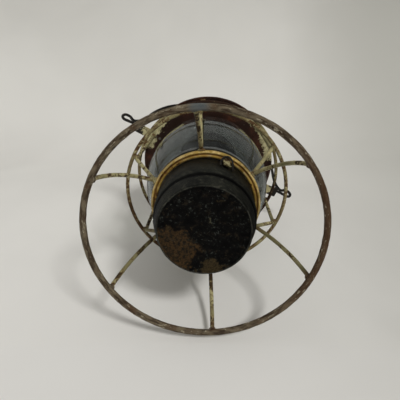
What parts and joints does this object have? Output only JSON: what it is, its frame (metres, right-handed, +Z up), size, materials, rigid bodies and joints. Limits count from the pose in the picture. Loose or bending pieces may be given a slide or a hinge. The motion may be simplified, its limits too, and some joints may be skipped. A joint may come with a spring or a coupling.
{
  "type": "railway lantern",
  "caption": "Wire-bottom oil lantern: clear globe in a bent-wire guard, brimmed hinged lid, bayonet fount with wick raiser, swinging bail.",
  "frame": {"origin": "centre of the base ring on the ground", "axes": "+Z up along the globe's axis, +X along the bail's pivot axis, lid hinge at +Y"},
  "size_m": [0.2192, 0.1694, 0.2846],
  "materials": {
    "cage_paint": "old cream paint, chipped",
    "ring_wire": "rusted, paint worn away",
    "band_paint": "yellow paint, rust stained",
    "top_paint": "dark paint, rusted maroon",
    "fount_paint": "matt black, worn",
    "dark_wire": "blackened",
    "dull_tin": "dull tinplate",
    "burner_brass": "tarnished",
    "globe_glass": "clear, slightly dusty",
    "wick_cotton": "woven cotton"
  },
  "bodies": {
    "frame": {"base_ring": "ring_wire", "guard_wire_1": "cage_paint", "guard_wire_2": "cage_paint", "guard_wire_3": "cage_paint", "guard_wire_4": "cage_paint", "guard_wire_5": "cage_paint", "guard_wire_6": "cage_paint", "lower_hoop": "cage_paint", "upper_hoop": "cage_paint", "globe_seat_band": "band_paint", "gallery_plate": "dull_tin", "globe": "globe_glass", "brim": "top_paint", "bail_ear_left": "dull_tin", "bail_ear_right": "dull_tin", "hinge_leaf_frame": "dull_tin", "hinge_pin": "dull_tin", "catch_tongue": "band_paint", "catch_spring": "dark_wire"},
    "fount": {"fount": "fount_paint", "fount_collar": "burner_brass", "burner_body": "burner_brass", "burner_cone": "burner_brass", "wick_tube": "burner_brass"},
    "wick_raiser": {"wick_shaft": "burner_brass"},
    "wick": {"wick": "wick_cotton"},
    "lid": {"lid": "top_paint", "smoke_dome": "top_paint", "globe_retainer": "dull_tin", "hinge_leaf_lid": "dull_tin", "lift_tab": "top_paint"},
    "bail": {"bail": "dark_wire"}
  },
  "joints": [
    {"name": "fount_twist", "type": "hinge", "parent": "frame", "child": "fount", "pos_m": [0, 0, 0.0025], "axis": [0, 0, 1], "range_deg": [0, 30]},
    {"name": "wick_turn", "type": "hinge", "parent": "fount", "child": "wick_raiser", "pos_m": [0, -0.0046, 0.06511], "axis": [1, 0, 0], "range_deg": [-62, 124]},
    {"name": "wick_lift", "type": "slide", "parent": "fount", "child": "wick", "axis": [0, 0, 1], "range_m": [-0.004, 0.008]},
    {"name": "lid_hinge", "type": "hinge", "parent": "frame", "child": "lid", "pos_m": [0, 0.0505, 0.1985], "axis": [-1, 0, 0], "range_deg": [0, 100]},
    {"name": "bail_swing", "type": "hinge", "parent": "frame", "child": "bail", "pos_m": [0, 0, 0.2068], "axis": [1, 0, 0], "range_deg": [-148, 88]}
  ],
  "couplings": [
    {"joint": "wick_turn", "follows": "wick_lift", "rad_per_m": 270.27}
  ]
}
